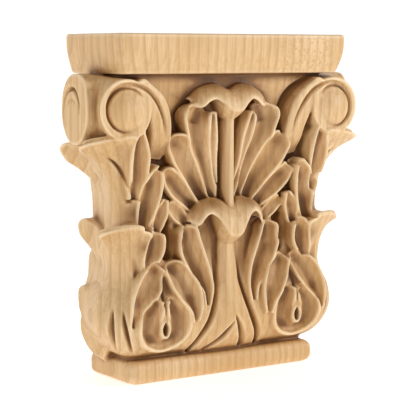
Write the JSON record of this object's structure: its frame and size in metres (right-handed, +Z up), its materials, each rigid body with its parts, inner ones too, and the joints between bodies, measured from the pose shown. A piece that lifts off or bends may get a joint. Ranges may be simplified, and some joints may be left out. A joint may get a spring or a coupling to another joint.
{
  "type": "acanthus capital",
  "caption": "Carved wooden pilaster capital with two rows of acanthus leaves, corner scrolls, a bullnose plinth and a deep plain abacus, flat at the back.",
  "frame": {"origin": "under the middle of the block, on the plane of the plinth's underside", "axes": "+X across the face to its right, -Y out of the carved front, +Y into the wall, +Z up"},
  "size_m": [0.248, 0.076, 0.2525],
  "materials": {
    "maple": "unfinished pale maple, sanded smooth on the flats, with golden shading in the cuts"
  },
  "bodies": {
    "root": {"capital": "maple"}
  },
  "joints": []
}
